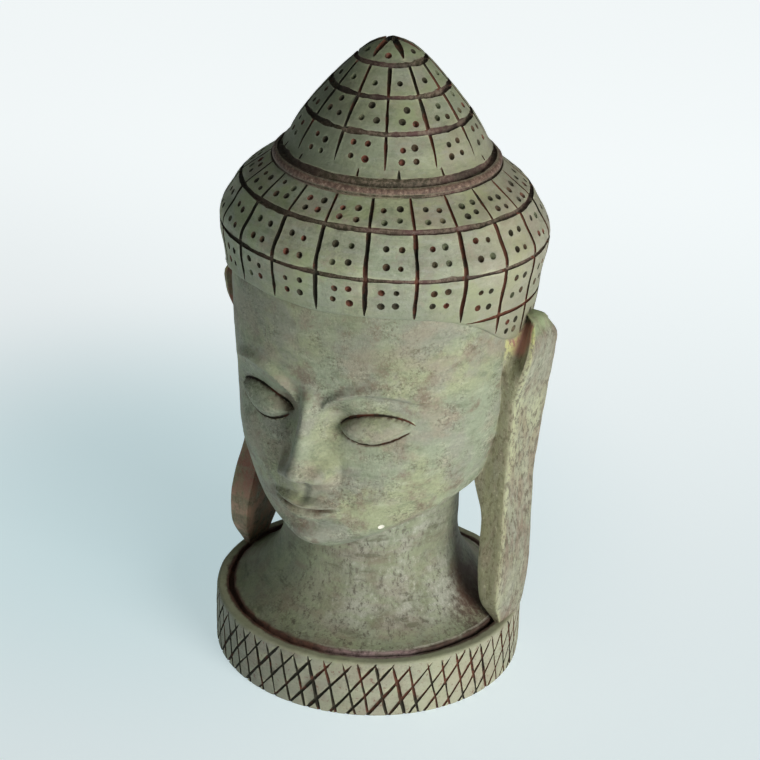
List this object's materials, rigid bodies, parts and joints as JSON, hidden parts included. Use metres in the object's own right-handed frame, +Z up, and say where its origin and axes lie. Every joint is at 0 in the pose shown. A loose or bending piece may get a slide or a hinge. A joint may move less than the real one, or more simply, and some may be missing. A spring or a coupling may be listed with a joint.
{
  "type": "cast resin head sculpture",
  "caption": "Carved head with a calm face, long ears and a tiled, pointed cap, cast in one with a neck and a round base with a cross-cut wall.",
  "frame": {"origin": "centre of the base's flat underside", "axes": "+Z up the head to the tip of the cap, and the face looks along -Y"},
  "size_m": [0.0878, 0.0829, 0.1636],
  "materials": {
    "painted_resin": "matte khaki-green paint over cast resin, with brown-red wash in the cuts and grey-white patina on the shoulders"
  },
  "bodies": {
    "root": {"resin_head": "painted_resin"}
  },
  "joints": []
}
